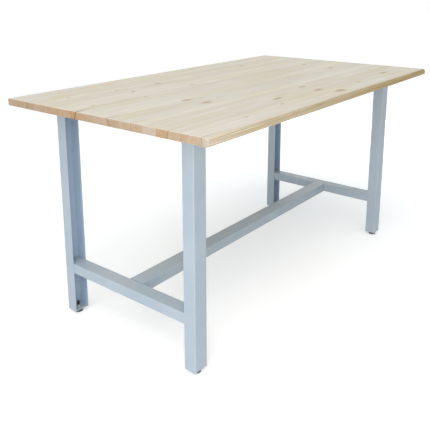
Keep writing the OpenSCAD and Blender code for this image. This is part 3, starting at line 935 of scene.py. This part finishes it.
def makeThreadedRod(s):
    tree, take, give = newGrowth("threadedRod", {
        "Diameter": 0.01, "Length": 0.02, "Pitch": 0.0015, "Groove": 0.0009, "Lead": 0.001, "Point": 0.0,
        "Around": 24, "Rows": 90, "Slot Width": 0.0, "Slot Depth": 0.0})
    radius = take["Diameter"] * 0.5
    sizes = {"Vertices": take["Around"], "Side Segments": take["Rows"],
             "Radius": radius, "Depth": take["Length"]}
    rod = output(tree, "GeometryNodeMeshCylinder", sizes, fill_type="NGON")
    x, y, z = split(output(tree, "GeometryNodeInputPosition"))
    height = z + take["Length"] * 0.5
    angle = maths("ARCTAN2", y, x) / (2 * math.pi)
    turn = maths("FRACT", height / take["Pitch"] - angle)
    flank = ramp(maths("ABSOLUTE", turn * 2.0 - 1.0), *s["flank"])
    toTop = take["Length"] - height
    lead = ramp(maths("MINIMUM", height, toTop), 0.0, take["Lead"], take["Groove"], 0.0)
    cut = maths("MAXIMUM", flank * take["Groove"], lead)
    cut = maths("MINIMUM", cut, radius * s["deepest"])
    # the point of a wood screw
    narrowed = 1.0 - ramp(toTop, 0.0, maths("MAXIMUM", take["Point"], s["least"]), s["tip"], 1.0)
    pointed = maths("GREATER_THAN", take["Point"], s["shown"])
    share = (radius - cut) / radius * (1.0 - pointed * narrowed)
    shaped = geometryStep("SetPosition", rod, {"Position": combine(x * share, y * share, height)})
    # a driver slot across the far end
    size = combine(take["Diameter"] * s["slotReach"], take["Slot Width"], take["Slot Depth"] * 2.0)
    slab = output(tree, "GeometryNodeMeshCube", {"Size": size})
    placed = geometryStep("Transform", slab, {"Translation": combine(0.0, 0.0, take["Length"])})
    both = {"Mesh 1": shaped, "Mesh 2": placed}
    slotted = output(tree, "GeometryNodeMeshBoolean", both, operation="DIFFERENCE")
    hasSlot = maths("GREATER_THAN", take["Slot Depth"], s["shown"])
    choice = {"Switch": hasSlot, "False": shaped, "True": slotted}
    return endGrowth(tree, take, give, output(tree, "GeometryNodeSwitch", choice, input_type="GEOMETRY"))


def makeRow():
    tree, take, give = newGrowth("rowOfCopies", {
        "Geometry": "Geometry", "Count": 2, "First": "Vector", "Step": "Vector"})
    spots = {"Count": take["Count"], "Start Location": take["First"], "Offset": take["Step"]}
    line = output(tree, "GeometryNodeMeshLine", spots, mode="OFFSET")
    return endGrowth(tree, take, give, geometryStep("InstanceOnPoints", line, {"Instance": take["Geometry"]}))


threadedRod, rowOfCopies = makeThreadedRod(threadShape), makeRow()


def threadMesh(s, length, lead, around, rows, **others):
    values = {"Diameter": s["diameter"], "Length": length, "Pitch": s["pitch"], "Groove": s["groove"],
              "Lead": lead, "Around": around, "Rows": rows, "Finish": zincPlate}
    return takeMesh(growPiece("thread", threadedRod, {**values, **others}))


def mountRow(node, mesh, count, first, step):
    values = {"Count": count, "First": first, "Step": step, "Finish": zincPlate}
    mount(sharpen(growPiece(nameOf(node), rowOfCopies, values, mesh)), node)


# stands a turned mesh on the x axis, pointing to the given side
def alongX(sign, x=0.0):
    return Matrix.Translation((x, 0, 0)) @ Matrix.Rotation(sign * math.pi / 2, 4, "Y")


bolt = {"flats": 13 * mm, "head": 5.3 * mm, "diameter": 8 * mm, "length": 20 * mm, "pitch": 1.25 * mm,
        "groove": 0.75 * mm, "lead": 0.8 * mm, "spacing": 34 * mm, "steps": 48,
        "chamfer": (1.2, 0.9, 0.6, 0.4, 0.2, 0.0), "slope": 1.75,  # mm under the top; its rise inwards
        "top": 0.92, "bearing": 0.94,  # shares of the flats
        "dish": ((0.86, 0.0), (0.78, 0.25), (0, 0.3))}  # share of the top and depth in mm
washer = {"inner": 4.5 * mm, "round": 0.25 * mm, "nick": 0.07 * mm, "steps": 48}
rivet = {"flange": 7 * mm, "flangeThick": 0.6 * mm, "body": 5.5 * mm, "bore": 4.1 * mm, "wall": 2 * mm,
         "collar": 4 * mm, "length": 16 * mm, "knurls": 24, "knurlDepth": 0.12 * mm, "steps": 96}


def hexHead(s):
    flats, head = s["flats"], s["head"]
    top, bearing = s["top"] * flats / 2, s["bearing"] * flats / 2
    heights = [0.3 * mm] + [head - depth * mm for depth in s["chamfer"]]
    rows = [(0, 0.0), (bearing, 0.0), (bearing, 0.2 * mm)]
    rows += [(hexRim(flats, top + (head - z) * s["slope"]), z) for z in heights]
    rows += [(top * share, head - depth * mm) for share, depth in s["dish"]]
    return polarMesh("hexHead", rows, s["steps"])


def mountPair(node, mesh, x):
    middle = boxOf(node).middle
    mountRow(node, mesh, 2, (x, middle.y - bolt["spacing"] / 2, middle.z), (0, bolt["spacing"], 0))


def makeBolts(node, sign, s):
    box = boxOf(node)
    shank = threadMesh(s, s["length"], s["lead"], 24, 128)
    whole = joinMeshes("bolt", zincPlate, (hexHead(s), alongX(-sign)), (shank, alongX(sign)))
    mountPair(node, takeMesh(whole), (box.low.x + s["head"]) if sign > 0 else (box.high.x - s["head"]))


def makeWashers(node, s):
    box = boxOf(node)
    inner, outer, thick, ease, nick = s["inner"], box.size.z / 2, box.size.x, s["round"], s["nick"]
    rows = [(inner, ease), (inner + ease, 0), (outer - ease, 0), (outer - nick, nick), (outer, ease),
            (outer, thick - ease), (outer - nick, thick - nick), (outer - ease, thick), (inner + ease, thick),
            (inner, thick - ease)]
    mesh = polarMesh("washer", rows, s["steps"], ring=True)
    mesh.transform(alongX(1, -thick / 2))
    mountPair(node, mesh, box.middle.x)


def makeRivetNuts(node, sign, s):
    box = boxOf(node)
    flange, body, bore, thick = s["flange"], s["body"], s["bore"], s["flangeThick"]
    behind, far = thick + s["wall"], thick + s["length"]
    rear, ease = behind + s["collar"], 0.3 * mm

    def knurl(angle):
        return body - s["knurlDepth"] * (0.5 + 0.5 * math.cos(s["knurls"] * angle))
    rows = [(bore, ease), (bore + ease, 0), (flange - 0.2 * mm, 0), (flange, 0.2 * mm), (flange, thick),
            (body, thick), (body, behind), (flange - 0.8 * mm, behind), (flange, behind + 0.9 * mm),
            (flange, rear - 0.9 * mm), (flange - 0.8 * mm, rear), (body, rear + 0.3 * mm),
            (knurl, rear + 0.6 * mm), (knurl, far - 0.5 * mm), (body - 0.5 * mm, far), (bore + ease, far),
            (bore, far - ease)]
    mesh = polarMesh("rivetNut", rows, s["steps"], ring=True)
    mesh.transform(alongX(sign))
    mountPair(node, mesh, box.low.x if sign > 0 else box.high.x)


woodScrew = {"head": 10 * mm, "headHeight": 3 * mm, "diameter": 5 * mm, "pitch": 2.2 * mm, "groove": 0.9 * mm,
             "lead": 0.4 * mm, "point": 5 * mm, "count": 4, "steps": 48,
             "recess": 2.6 * mm, "recessDepth": 1.9 * mm, "lobes": 6, "lobeDepth": 0.16,
             # share of the half head and height in mm, up the dome
             "dome": ((0.72, 0.05), (0.86, 0.45), (0.95, 1.0), (0.99, 1.7), (1.0, 2.3))}


def makeWoodScrews(node, s):
    box = boxOf(node)
    half, tall, recess, deep = s["head"] / 2, s["headHeight"], s["recess"], s["recessDepth"]

    def lobed(share):
        return lambda angle: recess * share * (1 + s["lobeDepth"] * math.cos(s["lobes"] * angle))
    # from the recess outwards over the dome, head down
    rows = [(0, deep), (lobed(0.62), deep - 0.2 * mm), (lobed(0.8), deep - 0.4 * mm), (lobed(1.0), 0.15 * mm),
            (lobed(1.04), 0.02 * mm), *((half * share, height * mm) for share, height in s["dome"]),
            (half, tall - 0.2 * mm), (half - 0.2 * mm, tall), (0, tall)]
    head = polarMesh("screwHead", rows, s["steps"])
    shank = threadMesh(s, box.size.z - tall, s["lead"], 20, 72, Point=s["point"])
    whole = joinMeshes("woodScrew", zincPlate, (head, Matrix()), (shank, Matrix.Translation((0, 0, tall))))
    spacing = (box.size.y - s["head"]) / (s["count"] - 1)
    mountRow(node, takeMesh(whole), s["count"], (box.middle.x, box.low.y + half, box.low.z), (0, spacing, 0))


for end, sign in ends.items():
    makeBolts(f"stretcher_bolts_{end}", sign, bolt)
    makeWashers(f"stretcher_washers_{end}", washer)
    makeRivetNuts(f"rivet_nuts_{end}", sign, rivet)
    makeWoodScrews(f"top_screws_{end}", woodScrew)
print("fasteners made")

foot = {
    "nutFlats": 17 * mm, "nutTop": 0.96, "nutChamfer": (1.1, 0.8, 0.5, 0.3, 0.0), "nutSlope": 1.75,
    "bore": 5.1 * mm, "steps": 48,
    "diameter": 10 * mm, "pitch": 1.5 * mm, "groove": 0.92 * mm, "lead": 1.0 * mm,
    "slotWidth": 1.6 * mm, "slotDepth": 2.5 * mm, "swivel": 17 * mm, "swivelThick": 3 * mm, "neck": 8 * mm,
    "shankBottom": 12.3 * mm, "headBottom": 3.3 * mm,
    "padFloor": 3 * mm, "padSocket": 8.6 * mm, "padSocketTop": 6.6 * mm, "padNeck": 4.1 * mm,
    "padTop": 13.5 * mm, "padRim": 4 * mm, "padSweep": 7, "padHollow": 1.15, "padSteps": 64,
}


def makeFootNut(node, s):
    box = boxOf(node)
    tall, flats, bore = box.size.z, s["nutFlats"], s["bore"]
    plain = hexRim(flats, flats)
    rows = [(bore, 0.5 * mm), (bore + 0.5 * mm, 0.0), (plain, 0.0), (plain, 0.3 * mm)]
    for depth in s["nutChamfer"]:
        rows.append((hexRim(flats, s["nutTop"] * flats / 2 + depth * mm * s["nutSlope"]), tall - depth * mm))
    rows += [(bore + 0.7 * mm, tall), (bore, tall - 0.7 * mm)]
    mesh = polarMesh("footNut", rows, s["steps"], ring=True)
    here = Matrix.Translation((box.middle.x, box.middle.y, box.low.z))
    mount(joinMeshes(nameOf(node), paintedSteel, (mesh, here)), node)


def makeFootStud(node, body, s):
    box = boxOf(node)
    start, slot = s["shankBottom"], {"Slot Width": s["slotWidth"], "Slot Depth": s["slotDepth"]}
    shank = threadMesh(s, box.high.z - start, s["lead"], 32, 140, **slot)
    neck, disc, low = s["neck"] / 2, s["swivel"] / 2, s["headBottom"]
    high = low + s["swivelThick"]
    rows = [(0, low), (disc - 1.5 * mm, low), (disc - 0.4 * mm, low + 0.3 * mm), (disc, low + 0.9 * mm),
            (disc, high - 0.4 * mm), (disc - 0.4 * mm, high), (neck + 0.3 * mm, high),
            (neck, high + 0.3 * mm), (neck, start + 0.5 * mm), (0, start + 0.5 * mm)]
    head = polarMesh("studHead", rows, s["steps"])
    here = Matrix.Translation((box.middle.x, box.middle.y, 0))
    parts = (shank, here @ Matrix.Translation((0, 0, start))), (head, here)
    mount(joinMeshes(nameOf(node), blackenedSteel, *parts), node, body)


def makeFootPad(node, body, s):
    box = boxOf(node)
    outer, tall, top, rim, neck = box.size.x / 2, box.size.z, s["padTop"], s["padRim"], s["padNeck"]
    rows = [(0, 0.6 * mm), (outer - 6 * mm, 0.6 * mm), (outer - 5.4 * mm, 0), (outer - 1 * mm, 0),
            (outer - 0.3 * mm, 0.3 * mm), (outer, 1 * mm), (outer, rim - 0.6 * mm),
            (outer - 0.15 * mm, rim)]
    # a hollow sweep up to the collar
    startR, startZ, endR, endZ = outer - 0.6 * mm, rim + 0.5 * mm, top + 0.9 * mm, tall - 1.2 * mm
    for i in range(s["padSweep"]):
        t = i / s["padSweep"]
        rows.append((startR + (endR - startR) * t, startZ + (endZ - startZ) * t ** s["padHollow"]))
    rows += [(top + 0.6 * mm, tall - 0.9 * mm), (top + 0.1 * mm, tall - 0.25 * mm), (top - 0.6 * mm, tall),
             (neck + 0.6 * mm, tall), (neck, tall - 0.6 * mm), (neck, s["padSocketTop"]),
             (s["padSocket"], s["padSocketTop"]), (s["padSocket"], s["padFloor"]), (0, s["padFloor"])]
    mesh = polarMesh("footPad", rows, s["padSteps"])
    here = Matrix.Translation((box.middle.x, box.middle.y, 0))
    mount(joinMeshes(nameOf(node), mouldedPlastic, (mesh, here)), node, body)


for corner in corners:
    makeFootNut(f"foot_nut_{corner}", foot)
    makeFootStud(f"foot_stud_{corner}", f"stud_{corner}", foot)
    makeFootPad(f"foot_pad_{corner}", f"pad_{corner}", foot)
print("feet made")

weld = {"radius": 1.7 * mm, "ripple": 1.9 * mm, "step": 0.45 * mm, "seed": 5, "sink": 0.3 * mm, "around": 9,
        "uneven": (None, 260.0, 1.0, 0.5), "taper": (0.0, 0.05, 0.45, 1.0),
        "thin": 0.66, "wave": 0.16, "lumps": 0.36,  # shares of the radius
        "barGap": 2.5 * mm, "plateGap": 6 * mm, "upGap": 4 * mm, "acrossGap": 5 * mm,  # left free at the ends
        "nutTurns": (30, 150, 270), "nutHalf": 3.4 * mm, "nutOff": 0.2 * mm, "sharp": math.radians(60)}


def makeWeldBead(s):
    tree, take, give = newGrowth("weldBead", {
        "Geometry": "Geometry", "Radius": 0.0017, "Ripple": 0.0019, "Step": 0.0005, "Seed": 1})
    paths = geometryStep("MeshToCurve", take["Geometry"])
    fine = geometryStep("ResampleCurve", paths, {"Length": take["Step"]}, mode="LENGTH")
    length, factor = outputs(tree, "GeometryNodeSplineParameter", "Length", "Factor")
    wave = maths("ABSOLUTE", maths("SINE", length * math.pi / take["Ripple"]))
    uneven = noise(output(tree, "GeometryNodeInputPosition"), *s["uneven"], w=take["Seed"])
    taper = fade(maths("MINIMUM", factor, 1.0 - factor), *s["taper"])
    thick = (s["thin"] + wave * s["wave"] + uneven * s["lumps"]) * taper * take["Radius"]
    sized = geometryStep("SetCurveRadius", fine, {"Radius": thick})
    circle = output(tree, "GeometryNodeCurvePrimitiveCircle", {"Resolution": s["around"], "Radius": 1.0})
    scale = output(tree, "GeometryNodeInputRadius")
    sweep = geometryStep("CurveToMesh", sized, {"Profile Curve": circle, "Fill Caps": True, "Scale": scale})
    return endGrowth(tree, take, give, sweep)


# first and last point of each bead
def weldRuns(s):
    sink, runs = s["sink"], []
    for corner in corners:
        side, end = corner.split("_")
        leg = boxOf(f"leg_{corner}")
        inner = leg.high.y if side == "front" else leg.low.y  # free edges of the flanges
        for bar in (boxOf(f"crossbar_{end}"), boxOf(f"top_rail_{end}")):
            for sign in (-1, 1):
                x = bar.middle.x + sign * (bar.size.x / 2 + sink)
                runs.append(((x, inner, bar.low.z + s["barGap"]), (x, inner, bar.high.z - s["barGap"])))
        plate, gap = boxOf(f"foot_plate_{corner}"), s["plateGap"]
        for sign in (-1, 1):
            x = plate.middle.x + sign * (plate.size.x / 2 - sink)
            runs.append(((x, plate.low.y + gap, plate.high.z), (x, plate.high.y - gap, plate.high.z)))
        nut = boxOf(f"foot_nut_{corner}")
        for turn in map(math.radians, s["nutTurns"]):
            out = Vector((math.cos(turn), math.sin(turn), 0))
            across = Vector((-out.y, out.x, 0)) * s["nutHalf"]
            reach = foot["nutFlats"] / 2 + s["nutOff"]
            centre = Vector((nut.middle.x, nut.middle.y, nut.low.z)) + out * reach
            runs.append((centre - across, centre + across))
    for end in ends:
        plate = boxOf(f"stretcher_plate_{end}")
        x = (plate.high.x - sink) if end == "left" else (plate.low.x + sink)
        half, low, high, gap = plate.size.y / 2, plate.low.z, plate.high.z, s["acrossGap"]
        for sign in (-1, 1):
            y = sign * (half - sink)
            runs.append(((x, y, low + s["upGap"]), (x, y, high - s["upGap"])))
        runs.append(((x, gap - half, high - sink), (x, half - gap, high - sink)))
    return runs


def makeWelds(s):
    bm = bmesh.new()
    for first, last in weldRuns(s):
        bm.edges.new((bm.verts.new(first), bm.verts.new(last)))
    values = {"Radius": s["radius"], "Ripple": s["ripple"], "Step": s["step"], "Seed": s["seed"],
              "Finish": paintedSteel}
    piece = sharpen(growPiece("weldBeads", makeWeldBead(s), values, closeMesh("weldRuns", bm)), s["sharp"])
    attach(piece, "frame")


makeWelds(weld)
print("welds made")

studio = {
    "floorSize": 400.0, "floorColour": rgb(0.80, 0.80, 0.80), "floorGlow": 0.42, "floorRough": 0.9,
    "worldColour": rgb(0.82, 0.91, 0.96), "worldStrength": 0.45, "seenColour": rgb(1.0, 1.0, 1.0),
    "white": (1.0, 1.0, 0.99), "plain": (1.0, 0.98, 0.96),  # tints of the lamps
    "warm": (1.0, 0.94, 0.88), "amber": (1.0, 0.86, 0.72), "sunDistance": 4,
    # where each far lamp stands seen from the bench, its strength, width in degrees and tint
    "suns": (
        ("keySun", (-0.7, -0.3, 1.3), 1.20, 45.0, "white"),
        ("frontSun", (-0.06, -1.0, 0.16), 0.31, 24.0, "amber"),
        ("sideSun", (-1.0, -0.10, 0.10), 0.54, 20.0, "plain"),
    ),
    # place, aim, width, height, watts and tint
    "lamps": (
        ("leftLamp", (-2.5, -1.4, 1.6), (-0.75, -0.2, 0.5), 1.2, 1.2, 19.0, "warm"),
        ("lowLamp", (-2.3, -1.7, 0.45), (-0.75, -0.3, 0.45), 0.8, 0.8, 7.7, "plain"),
        ("rearLamp", (3.2, 1.3, 0.48), (0.79, 0.0, 0.48), 1.4, 0.7, 12.0, "plain"),
    ),
}


# what is seen straight, in a mirror or through glass
def seenRays(tree):
    camera, glossy, through = outputs(tree, "ShaderNodeLightPath", "Is Camera Ray", "Is Glossy Ray",
                                      "Is Transmission Ray")
    return camera, maths("MAXIMUM", camera, maths("MAXIMUM", glossy, through))


def mixShaders(tree, ending, factor, first, second):
    inputs = {0: factor, 1: Signal(first.outputs[0]), 2: Signal(second.outputs[0])}
    feed(tree.nodes[ending].inputs[0], output(tree, "ShaderNodeMixShader", inputs))


def makeFloor(s):
    half = s["floorSize"] / 2
    bm = bmesh.new()
    bm.faces.new([bm.verts.new((x * half, y * half, 0)) for x, y in ((-1, -1), (1, -1), (1, 1), (-1, 1))])
    finish = bpy.data.materials.new("paleFloor")
    finish.use_nodes = True
    tree = finish.node_tree
    camera, seen = seenRays(tree)
    setShader(finish, {"Base Color": s["floorColour"], "Roughness": s["floorRough"],
                       "Specular IOR Level": 0.0, "Emission Color": s["seenColour"],
                       "Emission Strength": seen * s["floorGlow"]})
    # from below the floor isn't there
    below = output(tree, "ShaderNodeNewGeometry", name="Backfacing") * camera
    clear = addNode(tree, "ShaderNodeBsdfTransparent")
    mixShaders(tree, "Material Output", below, tree.nodes["Principled BSDF"], clear)
    newPiece("studioFloor", closeMesh("studioFloor", bm), finish)


def makeWorld(s):
    scene.world = bpy.data.worlds.new("studioWorld")
    scene.world.use_nodes = True
    tree = scene.world.node_tree
    back = tree.nodes["Background"]
    feed(back.inputs["Color"], s["worldColour"])
    feed(back.inputs["Strength"], s["worldStrength"])
    white = addNode(tree, "ShaderNodeBackground", {"Color": s["seenColour"], "Strength": 1.0})
    mixShaders(tree, "World Output", seenRays(tree)[1], back, white)


def addLamp(name, kind, place, aim, tint, **settings):
    lamp = bpy.data.lights.new(name, kind)
    lamp.color = tint
    for key, value in settings.items():
        setattr(lamp, key, value)
    holder = bpy.data.objects.new(name, lamp)
    holder.location = place
    holder.rotation_mode = "QUATERNION"
    holder.rotation_quaternion = (Vector(aim) - Vector(place)).to_track_quat("-Z", "Y")
    scene.collection.objects.link(holder)


makeFloor(studio)
makeWorld(studio)
for name, towards, strength, wide, tint in studio["suns"]:
    place = Vector(towards).normalized() * studio["sunDistance"]
    addLamp(name, "SUN", place, (0, 0, 0), studio[tint], energy=strength, angle=math.radians(wide))
for name, place, aim, width, height, watts, tint in studio["lamps"]:
    addLamp(name, "AREA", place, aim, studio[tint], energy=watts, shape="RECTANGLE",
            size=width, size_y=height)
scene.view_settings.view_transform = "Standard"
print("studio made")
